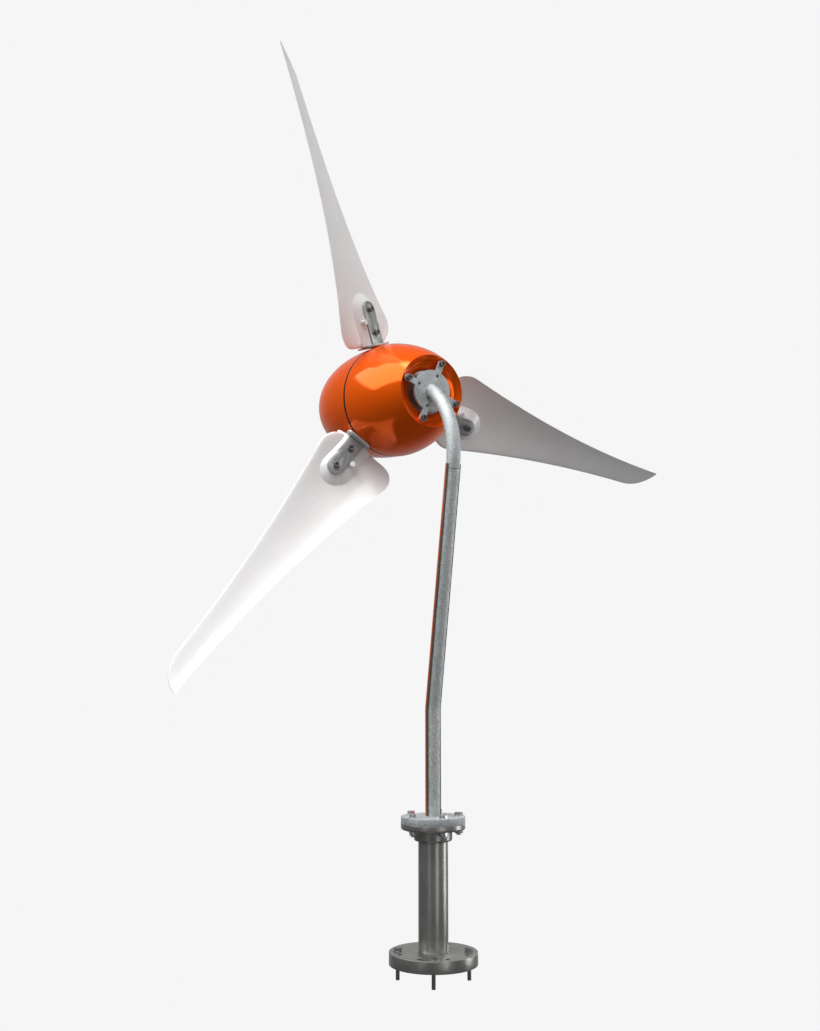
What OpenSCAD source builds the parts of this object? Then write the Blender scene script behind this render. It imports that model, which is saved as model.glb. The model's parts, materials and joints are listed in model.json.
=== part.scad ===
// Small downwind wind turbine on a swivelling bent mast.
// Millimetres, +Z up. The origin is the centre of the base flange's underside.
// The nose points along -Y. The rotor axis crosses the vertical swivel axis.

/* [Base] */
// Diameter of the base flange
base_d = 225; // [210:1:260]
// Thickness of the base flange
base_t = 30; // [24:1:36]
// Pitch circle of the anchor bolts and spare holes
anchor_pcd = 180; // [170:1:184]
// Diameter of the anchor bolts
anchor_d = 10; // [8:1:12]
// Length of anchor bolt below the base flange
anchor_drop = 39; // [20:1:60]
// Turn of the anchor pattern about the swivel axis, degrees
anchor_turn = 57; // [0:1:89]
// Outer diameter of the standpipe
standpipe_d = 76; // [76:0.5:80]
// Height of the standpipe's top end
standpipe_top = 295.5; // [280:0.5:296]

/* [Swivel head] */
// Diameter of the two bolted flanges
flange_d = 165; // [155:1:180]
// Thickness of the dark hub flange
hub_flange_t = 15; // [12:1:16]
// Thickness of the galvanised mast flange
mast_flange_t = 18; // [14:1:24]
// Diameter of the hub barrel around the bearings
barrel_d = 98; // [90:1:104]
// Pitch circle of the flange bolts
flange_pcd = 132; // [130:1:136]
// Number of flange bolts
flange_bolt_count = 5; // [4:1:6]
// Turn of the flange bolts about the swivel axis, degrees
flange_turn = 8; // [0:1:60]

/* [Mast] */
// Outer diameter of the mast pipe
pipe_d = 37; // [34:0.5:40]
// Wall thickness of the mast pipe
pipe_wall = 3.5; // [2.5:0.5:5]
// Height of the kink where the pipe starts to lean back
kink_z = 634; // [600:1:680]
// Lean of the upper pipe from the vertical, degrees
lean = 9; // [6:0.5:10]
// Length of the leaning pipe up to the weld
lean_len = 626; // [600:1:634]
// Leaning stretch above the weld, before the bend starts
lead_len = 12; // [8:1:16]
// Radius of the bend at the top
bend_r = 212; // [205:1:220]
// Thickness of the fairing sheet
fairing_t = 1.2; // [1:0.1:2]
// Reach of the fairing's legs behind the pipe's axis
fairing_leg = 6.5; // [3:0.5:12]

/* [Nacelle] */
// Height where the rotor axis meets the swivel axis
hub_height = 1480; // [1478:1:1482]
// Upward tilt of the nose, degrees
shaft_tilt = 4.2; // [3:0.2:5]
// Largest radius of the rear cover
cover_r = 159.7; // [158:0.1:160]
// Distance from the largest radius to the rear cover's virtual rear tip
cover_len = 277; // [270:1:284]
// Fullness of the rear cover's curve
cover_power = 1.66; // [1.6:0.02:1.7]
// Radius of the nose cover at its open end
nose_r = 158.5; // [155:0.5:159]
// Length of the nose cover
nose_len = 300; // [280:1:310]
// Fullness of the nose cover's curve
nose_power = 2.4; // [2.2:0.1:3]
// Wall thickness of both covers
cover_wall = 4; // [3:0.5:5]

/* [Blades] */
// Radius of the blade tips about the rotor axis
tip_r = 1020; // [980:1:1060]
// Chord near the root
root_chord = 226; // [210:1:236]
// Chord that the taper runs out to
tip_chord = 72; // [60:1:84]
// Pitch of the blade and its bracket at the root, degrees
root_pitch = 23; // [20:1:26]
// Pitch gained along the blade, degrees
pitch_gain = 36; // [20:1:38]
// Pitch taken back towards the tip, degrees
pitch_fade = 12; // [0:1:14]
// Thickness of the root section over its chord
section_t = 0.1; // [0.08:0.01:0.12]
// Camber of the root section over its chord
section_camber = 0.1; // [0.08:0.01:0.11]
// Turn of the first blade from upright, degrees
park_angle = 19.9; // [0:0.1:119]

/* [Hidden] */
$fn = 64;
smooth_fn = 96;

// Colours
orange = [0.93, 0.36, 0.05];
zinc = [0.66, 0.68, 0.68];
dark_steel = [0.27, 0.27, 0.26];
bright_steel = [0.62, 0.63, 0.64];
white = [0.93, 0.92, 0.91];
copper = [0.72, 0.42, 0.22];

// Base and swivel, heights above the base flange's underside
anchor_count = 4;
spare_hole_d = 11.5;
anchor_hole_d = anchor_d + 1;
anchor_shank_d = anchor_d + 0.5;
anchor_washer_t = 2;
anchor_head_t = 7;
anchor_head_af = 16;
standpipe_wall = 5;
spindle_flange_t = 4;
spindle_top_gap = 0.5;
spindle_plug = 40;
spindle_bore_r = 11;
neck_r = 17.5;
thread_r = 15;
yaw_race_r = 31;
race_w = 14;
race_gap = 5;
hub_bottom = 301.3;
hub_lip_t = 1.7;
lower_race_z = hub_bottom + hub_lip_t;
upper_race_z = lower_race_z + race_w + race_gap;
race_top = upper_race_z + race_w;
mast_flange_z = 344.4;
mast_flange_top = mast_flange_z + mast_flange_t;
hub_flange_z = mast_flange_z - hub_flange_t;
edge_round = 5;
flange_bolt_d = 12;
flange_bolt_af = 19;
flange_nut_t = 10;
flange_head_t = 9;
flange_collar_r = 11.8;
flange_collar_t = 1.6;
flange_thread_out = 4;

// Mast path in the plane X = 0: kink, weld, bend and the plate
pipe_r = pipe_d / 2;
pipe_bore_r = pipe_r - pipe_wall;
bend_sweep = 76;
kink_joint = 0.2;
fairing_in_r = pipe_r + 0.15;
fairing_out_r = fairing_in_r + fairing_t;
fairing_foot = 2;
fairing_splay = 0.65;
rivet_r = 2;
lower_rivets = [mast_flange_top + 40, mast_flange_top + 220];
upper_rivets = [120, 330, 560];

// Stations along the rotor axis, measured from the swivel axis towards the nose
plate_n = -2.4;
plate_t = 8;
plate_r = 57;
lug_r = 81.5;
lug_end_r = 9.5;
lug_neck = 18;
lug_turn = 18.75;
lug_count = 4;
plate_hole_r = 4;
plate_hole_at = 44.6;
lug_screw_d = 10;
pillar_r = 9;
mouth_r = 98;
step_r = 84;
step_n = 14;
ledge_r = 81;
throat_r = 61;
throat_n = 23;
bell_n = 30;
bell_t = 12;
cover_front_n = 199;
cover_peak_n = 194;
nose_n = 206.5;
case_r = 106;
case_wall = 10;
case_n = bell_n + bell_t;
front_bell_n = 150;
front_bell_t = 10;
case_screw_d = 5;
rear_race_n = 44;
rear_race_r = 31;
rear_race_w = 16;
rear_seat_r = 15;
front_race_n = 144;
front_race_r = 40;
front_race_w = 18;
front_seat_r = 20;
core_n = 76;
core_len = 50;
stator_in_r = 65.5;
stator_out_r = case_r - case_wall;
slot_count = 24;
tooth_w = 10;
magnet_out_r = 64;
carrier_r = 58;
carrier_bore_r = 24;
magnet_count = 16;
hub_seat_r = 17.5;
arm_n = 200.5;
arm_t = 5;
arm_w = 50;
hub_r = 36;
hub_disc_r = 66;
hub_n = 169.5;
hub_thread_r = 12;
hub_washer_r = 22;
hub_washer_t = 3;
hub_nut_af = 36;
hub_nut_h = 16;
post_n = 228;
post_r = 9;
nose_screw_r = 3.8;

// Blade bracket, in the pitched frame of a blade
blade_count = 3;
foot_r = 160.8;
foot_t = 5;
foot_len = 76;
foot_back = 22;
foot_front = 50;
bracket_plane_n = 209.7;
plate_half_w = 25;
bracket_plate_t = 5.5;
screw_in_r = 199;
screw_out_r = 265;
blade_screw_d = 10;
blade_hole_r = blade_screw_d / 2 + 0.4;
blade_nut_af = 16;
blade_nut_h = 8;
blade_thread_out = 2;
notch_r = 9;
notch_x = 30.5;
notch_y = (screw_in_r + screw_out_r) / 2;
front_plate_z = 36;
boss_h = 16;
boss_top_w = 27;
boss_base_w = 60;
boss_lead_w = 62;
boss_trail_w = 50;
boss_skin = 0.1;
front_pad_w = 30;
front_pad_z = 18;
peg_r = 8;
peg_x = 33;

// Blade planform
blade_root = foot_r + foot_t + 0.7;
taper_from = 230;
corner_len = 70;
tip_len = 100;
tip_power = 2.2;
sweep_root = 31;
sweep_gain = 10.5;
axial_root = 198;
axial_gain = 20;

// ---------- shared shapes ----------

// Ring of copies about Z
module around(count, turn = 0) {
  for (i = [0 : count - 1]) {
    rotate([0, 0, turn + i * 360 / count]) children();
  }
}

module tube(r_out, r_in, h) {
  difference() {
    cylinder(r = r_out, h = h, $fn = smooth_fn);
    translate([0, 0, -1]) cylinder(r = r_in, h = h + 2, $fn = smooth_fn);
  }
}

module hex_prism(af, h) {
  cylinder(r = af / 2 / cos(30), h = h, $fn = 6);
}

// Socket head cap screw: head above z = 0, shank below
module cap_screw(d, shank) {
  difference() {
    cylinder(r = d * 0.8, h = d);
    translate([0, 0, d * 0.5]) hex_prism(d * 0.8, d);
  }
  translate([0, 0, -shank]) cylinder(r = d / 2, h = shank);
}

// Races and balls of a deep-groove ball bearing standing on z = 0
function ball_r(r_in, r_out) = (r_out - r_in) * 0.29;
function pitch_r(r_in, r_out) = (r_in + r_out) / 2;

module inner_race(r_in, r_out, w) {
  difference() {
    tube(pitch_r(r_in, r_out) - ball_r(r_in, r_out) * 0.5, r_in, w);
    translate([0, 0, w / 2]) groove(r_in, r_out, 0.15);
  }
}

module outer_race(r_in, r_out, w) {
  difference() {
    tube(r_out, pitch_r(r_in, r_out) + ball_r(r_in, r_out) * 0.5, w);
    translate([0, 0, w / 2]) groove(r_in, r_out, 0.4);
  }
}

module groove(r_in, r_out, play) {
  rotate_extrude($fn = smooth_fn)
    translate([pitch_r(r_in, r_out), 0]) circle(r = ball_r(r_in, r_out) + play, $fn = 32);
}

module balls(r_in, r_out, w, count) {
  around(count)
    translate([pitch_r(r_in, r_out), 0, w / 2]) sphere(r = ball_r(r_in, r_out), $fn = 32);
}

// Disc with its lower edge rounded
module soft_disc(r, h, edge) {
  rotate_extrude($fn = smooth_fn)
    polygon(concat(
      [[0, h], [0, 0]],
      [for (a = [0 : 15 : 90]) [r - edge + edge * sin(a), edge - edge * cos(a)]],
      [[r, h]]));
}

// Frame of the rotor axis: +Z to the nose, +Y up, origin on the swivel axis
module on_rotor_axis() {
  translate([0, 0, hub_height]) rotate([90 - shaft_tilt, 0, 0]) children();
}

module at_station(n) {
  on_rotor_axis() translate([0, 0, n]) children();
}

// Frame of one blade: +Y outwards along the blade
module at_blade(i) {
  on_rotor_axis() rotate([0, 0, i * 360 / blade_count - park_angle]) children();
}

// Frame of a blade's bracket: +X to the trailing edge, +Z towards the nose
module pitched() {
  translate([0, 0, bracket_plane_n]) rotate([0, root_pitch, 0]) children();
}

// ---------- base ----------

module base_flange() {
  color(dark_steel) difference() {
    cylinder(r = base_d / 2, h = base_t, $fn = smooth_fn);
    translate([0, 0, -1]) cylinder(r = standpipe_d / 2, h = base_t + 2, $fn = smooth_fn);
    around(anchor_count, anchor_turn)
      translate([anchor_pcd / 2, 0, -1]) cylinder(r = anchor_hole_d / 2, h = base_t + 2);
    around(anchor_count * 2, anchor_turn + 22.5)
      translate([anchor_pcd / 2, 0, -1]) cylinder(r = spare_hole_d / 2, h = base_t + 2);
  }
}

module standpipe() {
  color(dark_steel) tube(standpipe_d / 2, standpipe_d / 2 - standpipe_wall, standpipe_top);
}

module anchor_bolts() {
  color(bright_steel) around(anchor_count, anchor_turn) translate([anchor_pcd / 2, 0, 0]) {
    translate([0, 0, -anchor_drop]) cylinder(r = anchor_d / 2, h = anchor_drop);
    cylinder(r = anchor_shank_d / 2, h = base_t + anchor_washer_t);
    translate([0, 0, base_t + anchor_washer_t]) hex_prism(anchor_head_af, anchor_head_t);
  }
}

module anchor_washers() {
  color(bright_steel) around(anchor_count, anchor_turn)
    translate([anchor_pcd / 2, 0, base_t]) tube(anchor_d * 1.15, anchor_hole_d / 2, anchor_washer_t);
}

module yaw_spindle() {
  plug_r = standpipe_d / 2 - standpipe_wall;
  flange_top = standpipe_top + spindle_flange_t;
  color(dark_steel) difference() {
    union() {
      translate([0, 0, standpipe_top - spindle_plug]) cylinder(r = plug_r, h = spindle_plug, $fn = smooth_fn);
      translate([0, 0, standpipe_top]) cylinder(r = standpipe_d / 2, h = spindle_flange_t, $fn = smooth_fn);
      translate([0, 0, flange_top]) cylinder(r = neck_r + 4, h = lower_race_z - flange_top, $fn = smooth_fn);
      translate([0, 0, lower_race_z]) cylinder(r = neck_r, h = race_top - lower_race_z, $fn = smooth_fn);
      translate([0, 0, race_top])
        cylinder(r = thread_r, h = mast_flange_z - spindle_top_gap - race_top, $fn = smooth_fn);
    }
    translate([0, 0, standpipe_top - spindle_plug - 1])
      cylinder(r = spindle_bore_r, h = spindle_plug + 60, $fn = smooth_fn);
  }
}

module yaw_inner_races() {
  color(bright_steel) for (z = [lower_race_z, upper_race_z]) {
    translate([0, 0, z]) inner_race(neck_r, yaw_race_r, race_w);
  }
}

module yaw_balls() {
  color(bright_steel) for (z = [lower_race_z, upper_race_z]) {
    translate([0, 0, z]) balls(neck_r, yaw_race_r, race_w, 11);
  }
}

module inner_spacer() {
  color(bright_steel) translate([0, 0, lower_race_z + race_w]) tube(neck_r + 3, neck_r, race_gap);
}

module yaw_lock_nut() {
  nut_t = mast_flange_z - spindle_top_gap - race_top - 0.4;
  color(bright_steel) translate([0, 0, race_top]) difference() {
    tube(thread_r + 8, thread_r, nut_t);
    around(4) translate([thread_r + 6, -3, -1]) cube([6, 6, nut_t + 2]);
  }
}

module slip_ring_body() {
  color(dark_steel) translate([0, 0, lower_race_z]) tube(spindle_bore_r, 6, 30);
}

// ---------- swivel head and mast ----------

module yaw_hub() {
  color(dark_steel) difference() {
    union() {
      translate([0, 0, hub_flange_z]) soft_disc(flange_d / 2, hub_flange_t, edge_round);
      translate([0, 0, hub_bottom]) soft_disc(barrel_d / 2, mast_flange_z - hub_bottom, edge_round);
    }
    translate([0, 0, hub_bottom - 1]) cylinder(r = yaw_race_r - 4, h = 60, $fn = smooth_fn);
    translate([0, 0, lower_race_z]) cylinder(r = yaw_race_r, h = 60, $fn = smooth_fn);
    flange_holes();
  }
}

module flange_holes() {
  around(flange_bolt_count, flange_turn)
    translate([flange_pcd / 2, 0, hub_flange_z - 1])
      cylinder(r = flange_bolt_d / 2 + 0.5, h = hub_flange_t + mast_flange_t + 2);
}

module yaw_outer_races() {
  color(bright_steel) for (z = [lower_race_z, upper_race_z]) {
    translate([0, 0, z]) outer_race(neck_r, yaw_race_r, race_w);
  }
}

module outer_spacer() {
  color(bright_steel) translate([0, 0, lower_race_z + race_w]) tube(yaw_race_r, yaw_race_r - 3, race_gap);
}

module bearing_retainer() {
  color(bright_steel) translate([0, 0, race_top]) tube(yaw_race_r, yaw_race_r - 3.5, mast_flange_z - race_top);
}

module yaw_seal() {
  seal_z = standpipe_top + spindle_flange_t + 0.4;
  color([0.08, 0.08, 0.08]) translate([0, 0, seal_z]) tube(yaw_race_r - 4, neck_r + 4.4, lower_race_z - seal_z);
}

module slip_ring_rotor() {
  color(bright_steel) {
    translate([0, 0, lower_race_z + 2]) cylinder(r = 5.5, h = 44);
    translate([0, 0, mast_flange_z + 2]) cylinder(r = 12, h = 4);
  }
}

module mast_flange() {
  color(zinc) difference() {
    translate([0, 0, mast_flange_z]) cylinder(r = flange_d / 2, h = mast_flange_t, $fn = smooth_fn);
    translate([0, 0, mast_flange_z - 1]) cylinder(r = 12, h = mast_flange_t + 2);
    flange_holes();
  }
}

module flange_bolts() {
  grip = mast_flange_t + hub_flange_t + flange_nut_t + flange_thread_out;
  color(bright_steel) around(flange_bolt_count, flange_turn) translate([flange_pcd / 2, 0, mast_flange_top]) {
    cylinder(r = flange_collar_r, h = flange_collar_t);
    hex_prism(flange_bolt_af, flange_head_t);
    translate([0, 0, -grip]) cylinder(r = flange_bolt_d / 2, h = grip);
  }
}

module flange_nuts() {
  color(bright_steel) around(flange_bolt_count, flange_turn)
    translate([flange_pcd / 2, 0, hub_flange_z - flange_nut_t]) difference() {
      hex_prism(flange_bolt_af, flange_nut_t);
      translate([0, 0, -1]) cylinder(r = flange_bolt_d / 2, h = flange_nut_t + 2);
    }
}

// Frame at the kink's centre line corner, leaning back with the upper pipe
module leaning() {
  translate([0, 0, kink_z]) rotate([-lean, 0, 0]) children();
}

// Everything below the mitre plane at the kink, raised by a little
module below_mitre(raise) {
  big = 1500;
  translate([0, 0, kink_z]) rotate([-lean / 2, 0, 0]) translate([-big / 2, -big / 2, raise - big]) cube(big);
}

// Extrudes a section up the mast as two lengths with a fine joint at the kink; -Y is the nose side
module along_mast(top) {
  intersection() {
    translate([0, 0, mast_flange_top + fairing_foot]) linear_extrude(kink_z - mast_flange_top) children();
    below_mitre(0);
  }
  difference() {
    leaning() translate([0, 0, -fairing_leg]) linear_extrude(top + fairing_leg) children();
    below_mitre(kink_joint);
  }
}

// Solid bar along the mast up to the weld, longer by extra at both ends
module bent_bar(r, extra) {
  translate([0, 0, mast_flange_top - extra]) cylinder(r = r, h = kink_z - mast_flange_top + extra, $fn = smooth_fn);
  translate([0, 0, kink_z]) sphere(r = r, $fn = smooth_fn);
  leaning() cylinder(r = r, h = lean_len + extra, $fn = smooth_fn);
}

module mast_pipe() {
  color(zinc) difference() {
    bent_bar(pipe_r, 0);
    bent_bar(pipe_bore_r, 1);
    at_rivets() rivet_shank();
  }
}

// Bend from the weld to beyond the mounting plate
module elbow_run() {
  leaning() translate([0, 0, lean_len]) {
    linear_extrude(lead_len) children();
    translate([0, -bend_r, lead_len]) rotate([90, 0, 90])
      rotate_extrude(angle = bend_sweep, $fn = 180) translate([bend_r, 0]) children();
  }
}

module mast_elbow() {
  color(zinc) difference() {
    elbow_run() difference() {
      circle(r = pipe_r, $fn = smooth_fn);
      circle(r = pipe_bore_r, $fn = smooth_fn);
    }
    at_station(plate_n) cylinder(r = 200, h = 300);
  }
}

// Half circle of points on the nose side, from angle 180 to 360 degrees
function nose_arc(r) = [for (a = [180 : 7.5 : 360]) [r * cos(a), r * sin(a)]];
function backwards(list) = [for (k = [len(list) - 1 : -1 : 0]) list[k]];

// U section open to the rear
module fairing_section() {
  polygon(concat(
    [[-fairing_out_r - fairing_splay, fairing_leg]],
    nose_arc(fairing_out_r),
    [[fairing_out_r + fairing_splay, fairing_leg], [fairing_in_r + fairing_splay, fairing_leg]],
    backwards(nose_arc(fairing_in_r)),
    [[-fairing_in_r - fairing_splay, fairing_leg]]));
}

module mast_fairing() {
  color(orange) difference() {
    along_mast(lean_len + lead_len) fairing_section();
    at_rivets() rivet_shank();
  }
}

// Rivet places down the nose side of the mast, with +Z pointing out of the sheet
module at_rivets() {
  for (z = lower_rivets) {
    translate([0, 0, z]) rotate([90, 0, 0]) children();
  }
  leaning() for (z = upper_rivets) {
    translate([0, 0, z]) rotate([90, 0, 0]) children();
  }
}

module rivet_shank() {
  translate([0, 0, pipe_bore_r - 1]) cylinder(r = rivet_r, h = fairing_out_r - pipe_bore_r + 1);
}

module fairing_rivets() {
  color(bright_steel) at_rivets() {
    rivet_shank();
    translate([0, 0, fairing_out_r]) cylinder(r1 = 2 * rivet_r, r2 = 1.2 * rivet_r, h = 1.4);
  }
}

// ---------- nacelle, standing still on the mast ----------

module at_lugs(count = lug_count) {
  rotate([0, 0, lug_turn]) around(count) translate([0, 1, 0] * lug_r) children();
}

module mounting_plate() {
  color(zinc) at_station(plate_n) difference() {
    linear_extrude(plate_t) {
      circle(r = plate_r, $fn = smooth_fn);
      at_lugs() circle(r = lug_end_r);
      rotate([0, 0, lug_turn]) around(lug_count)
        translate([-lug_neck / 2, 0]) square([lug_neck, lug_r]);
    }
    at_lugs() translate([0, 0, -1]) cylinder(r = lug_screw_d / 2 + 0.3, h = plate_t + 2);
    rotate([0, 0, lug_turn]) around(lug_count)
      translate([0, plate_hole_at, -1]) cylinder(r = plate_hole_r, h = plate_t + 2);
  }
}

module lug_screws() {
  color(dark_steel) at_station(plate_n) at_lugs() rotate([180, 0, 0]) cap_screw(lug_screw_d, bell_n + 10 - plate_n);
}

function egg(u, r, len, power) = r * pow(1 - pow(min(abs(u) / len, 1), power), 1 / power);
function cover_at(n) = egg(cover_peak_n - n, cover_r, cover_len, cover_power);
function nose_at(n) = egg(n - nose_n, nose_r, nose_len, nose_power);

// Closed outline of the rear cover: outside, inside, ring and stepped mouth
module rear_cover() {
  cavity_n = step_n + cover_wall;
  step = 6;
  color(orange) on_rotor_axis() difference() {
    union() {
      rotate_extrude($fn = 120) polygon(concat(
        [for (n = [0 : step : cover_front_n]) [cover_at(n), n]],
        [[cover_at(cover_front_n), cover_front_n]],
        [for (n = [cover_front_n : -step : cavity_n + step / 2]) [cover_at(n) - cover_wall, n]],
        [[cover_at(cavity_n) - cover_wall, cavity_n], [step_r + cover_wall, cavity_n]],
        [[throat_r, throat_n + cover_wall], [throat_r, throat_n]],
        [[ledge_r, step_n + 1], [step_r, step_n], [mouth_r, 1], [mouth_r + 0.8, 0]]));
      translate([0, 0, plate_n + plate_t]) at_lugs() cylinder(r = pillar_r, h = bell_n - plate_n - plate_t);
    }
    at_lugs() cylinder(r = lug_screw_d / 2 + 0.3, h = bell_n + 1);
  }
}

module generator_rear_bell() {
  color(dark_steel) at_station(bell_n) difference() {
    union() {
      cylinder(r = case_r, h = bell_t, $fn = smooth_fn);
      cylinder(r = rear_race_r + 7, h = rear_race_n + rear_race_w - bell_n + 2, $fn = smooth_fn);
    }
    translate([0, 0, rear_race_n - bell_n]) cylinder(r = rear_race_r, h = 40, $fn = smooth_fn);
    at_lugs() translate([0, 0, -1]) cylinder(r = lug_screw_d / 2, h = 11.2);
    case_holes(bell_t);
  }
}

module case_holes(t) {
  around(6) translate([case_r - case_wall / 2, 0, -1]) cylinder(r = case_screw_d / 2, h = t + 2);
}

module generator_case() {
  color(dark_steel) at_station(case_n) difference() {
    tube(case_r, case_r - case_wall, front_bell_n - case_n);
    case_holes(12);
    translate([0, 0, front_bell_n - case_n - 12]) case_holes(14);
  }
}

module generator_front_bell() {
  color(dark_steel) on_rotor_axis() difference() {
    union() {
      translate([0, 0, front_bell_n]) cylinder(r = case_r, h = front_bell_t, $fn = smooth_fn);
      translate([0, 0, front_race_n - 3]) cylinder(r = front_race_r + 8, h = front_race_w + 3, $fn = smooth_fn);
    }
    translate([0, 0, front_race_n]) cylinder(r = front_race_r, h = 40, $fn = smooth_fn);
    translate([0, 0, front_race_n - 10]) cylinder(r = front_race_r - 6, h = 40, $fn = smooth_fn);
    translate([0, 0, front_bell_n]) case_holes(front_bell_t);
  }
}

module generator_screws() {
  color(bright_steel) {
    at_station(bell_n) around(6) translate([case_r - case_wall / 2, 0, 0]) rotate([180, 0, 0])
      case_screw(bell_t + 8);
    at_station(front_bell_n + front_bell_t) around(6) translate([case_r - case_wall / 2, 0, 0])
      case_screw(front_bell_t + 8);
  }
}

// Low button-head screw
module case_screw(shank) {
  cylinder(r = case_screw_d * 0.8, h = 2.5);
  translate([0, 0, -shank]) cylinder(r = case_screw_d / 2, h = shank);
}

module stator_core() {
  shoe_out = stator_in_r + 4;
  slot_out = stator_out_r - 9;
  slot_mouth = 3;
  color([0.35, 0.36, 0.38]) at_station(core_n) linear_extrude(core_len) {
    difference() {
      circle(r = stator_out_r, $fn = smooth_fn);
      circle(r = slot_out, $fn = smooth_fn);
    }
    around(slot_count, 180 / slot_count) translate([shoe_out - 1, -tooth_w / 2])
      square([slot_out - shoe_out + 2, tooth_w]);
    difference() {
      circle(r = shoe_out, $fn = smooth_fn);
      circle(r = stator_in_r, $fn = smooth_fn);
      around(slot_count) translate([stator_in_r - 2, -slot_mouth / 2]) square([8, slot_mouth]);
    }
  }
}

// One coil around each tooth, seen as a rectangular ring
module stator_coils() {
  coil_in = stator_in_r + 5;
  coil_depth = 15;
  wire = 3.4;
  color(copper) at_station(core_n) around(slot_count, 180 / slot_count) difference() {
    translate([coil_in, -tooth_w / 2 - wire, -wire - 1])
      cube([coil_depth, tooth_w + 2 * wire, core_len + 2 * wire + 2]);
    translate([coil_in - 1, -tooth_w / 2 - 0.9, -1]) cube([coil_depth + 2, tooth_w + 1.8, core_len + 2]);
  }
}

module generator_outer_races() {
  color(bright_steel) {
    at_station(rear_race_n) outer_race(rear_seat_r, rear_race_r, rear_race_w);
    at_station(front_race_n) outer_race(front_seat_r, front_race_r, front_race_w);
  }
}

module shaft_seal() {
  seal_n = front_race_n + front_race_w;
  color([0.08, 0.08, 0.08]) at_station(seal_n) tube(front_race_r + 3, front_seat_r + 0.5, 4);
}

// ---------- turning rotor ----------

// Shaft steps as radius, start and end station
module rotor_shaft() {
  steps = [[rear_seat_r, rear_race_n + 0.5, rear_race_n + rear_race_w],
    [rear_seat_r + 3, rear_race_n + rear_race_w, core_n - 2],
    [carrier_bore_r, core_n - 2, core_n + core_len],
    [front_seat_r + 3, core_n + core_len, front_race_n],
    [front_seat_r, front_race_n, hub_n],
    [hub_seat_r, hub_n, arm_n + arm_t],
    [hub_thread_r, arm_n + arm_t, post_n]];
  color(bright_steel) on_rotor_axis() for (s = steps) {
    translate([0, 0, s[1]]) cylinder(r = s[0], h = s[2] - s[1], $fn = smooth_fn);
  }
}

module generator_inner_races() {
  color(bright_steel) {
    at_station(rear_race_n) inner_race(rear_seat_r, rear_race_r, rear_race_w);
    at_station(front_race_n) inner_race(front_seat_r, front_race_r, front_race_w);
  }
}

module generator_balls() {
  color(bright_steel) {
    at_station(rear_race_n) balls(rear_seat_r, rear_race_r, rear_race_w, 9);
    at_station(front_race_n) balls(front_seat_r, front_race_r, front_race_w, 9);
  }
}

module magnet_carrier() {
  color(bright_steel) at_station(core_n) difference() {
    tube(carrier_r, carrier_bore_r, core_len);
    around(6) translate([(carrier_r + carrier_bore_r) / 2, 0, -1]) cylinder(r = 9, h = core_len + 2);
  }
}

module magnets() {
  sweep = 19;
  color([0.45, 0.45, 0.47]) at_station(core_n + 2) around(magnet_count)
    rotate_extrude(angle = sweep, $fn = smooth_fn)
      translate([carrier_r, 0]) square([magnet_out_r - carrier_r, core_len - 4]);
}

module rotor_hub() {
  color(dark_steel) on_rotor_axis() {
    translate([0, 0, hub_n]) tube(hub_r, hub_seat_r, arm_n - hub_n);
    translate([0, 0, arm_n]) linear_extrude(arm_t) difference() {
      union() {
        circle(r = hub_disc_r, $fn = smooth_fn);
        rotate([0, 0, -park_angle]) around(blade_count) translate([-arm_w / 2, 0]) square([arm_w, foot_r]);
      }
      circle(r = hub_seat_r, $fn = smooth_fn);
    }
  }
}

module hub_washer() {
  color(bright_steel) at_station(arm_n + arm_t) tube(hub_washer_r, hub_thread_r + 0.2, hub_washer_t);
}

module hub_nut() {
  color(bright_steel) at_station(arm_n + arm_t + hub_washer_t) difference() {
    hex_prism(hub_nut_af, hub_nut_h);
    translate([0, 0, -1]) cylinder(r = hub_thread_r, h = hub_nut_h + 2);
  }
}

// Stadium outline along Y between two radii, with half width w
module strap(from, to, w) {
  translate([-w, from]) square([2 * w, to - from]);
  translate([0, to]) circle(r = w, $fn = smooth_fn);
}

module blade_foot(i) {
  corner = 14;
  color(bright_steel) at_blade(i) pitched() translate([0, foot_r, 0]) rotate([-90, 0, 0])
    linear_extrude(foot_t) union() {
      translate([-foot_len / 2 + corner, -foot_front]) square([foot_len - 2 * corner, foot_front + foot_back]);
      translate([-foot_len / 2, -foot_front + corner])
        square([foot_len, foot_front + foot_back - 2 * corner]);
      for (x = [-1, 1]) {
        for (y = [-foot_front + corner, foot_back - corner]) {
          translate([x * (foot_len / 2 - corner), y]) circle(r = corner);
        }
      }
    }
}

module bracket_plate() {
  linear_extrude(bracket_plate_t) difference() {
    strap(foot_r + foot_t, screw_out_r, plate_half_w);
    for (x = [-notch_x, notch_x]) {
      translate([x, notch_y]) circle(r = notch_r);
    }
    for (y = [screw_in_r, screw_out_r]) {
      translate([0, y]) circle(r = blade_hole_r);
    }
  }
}

module blade_plates(i) {
  color([0.55, 0.57, 0.56]) at_blade(i) pitched() {
    translate([0, 0, -bracket_plate_t]) bracket_plate();
    translate([0, 0, front_plate_z]) bracket_plate();
  }
}

module blade_screws() {
  grip = front_plate_z + 2 * bracket_plate_t + blade_nut_h + blade_thread_out;
  color(dark_steel) for (i = [0 : blade_count - 1]) {
    at_blade(i) pitched() for (y = [screw_in_r, screw_out_r]) {
      translate([0, y, -bracket_plate_t]) rotate([180, 0, 0]) cap_screw(blade_screw_d, grip);
    }
  }
}

module blade_nuts() {
  color(bright_steel) for (i = [0 : blade_count - 1]) {
    at_blade(i) pitched() for (y = [screw_in_r, screw_out_r]) {
      translate([0, y, front_plate_z + bracket_plate_t]) difference() {
        hex_prism(blade_nut_af, blade_nut_h);
        translate([0, 0, -1]) cylinder(r = blade_screw_d / 2, h = blade_nut_h + 2);
      }
    }
  }
}

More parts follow.
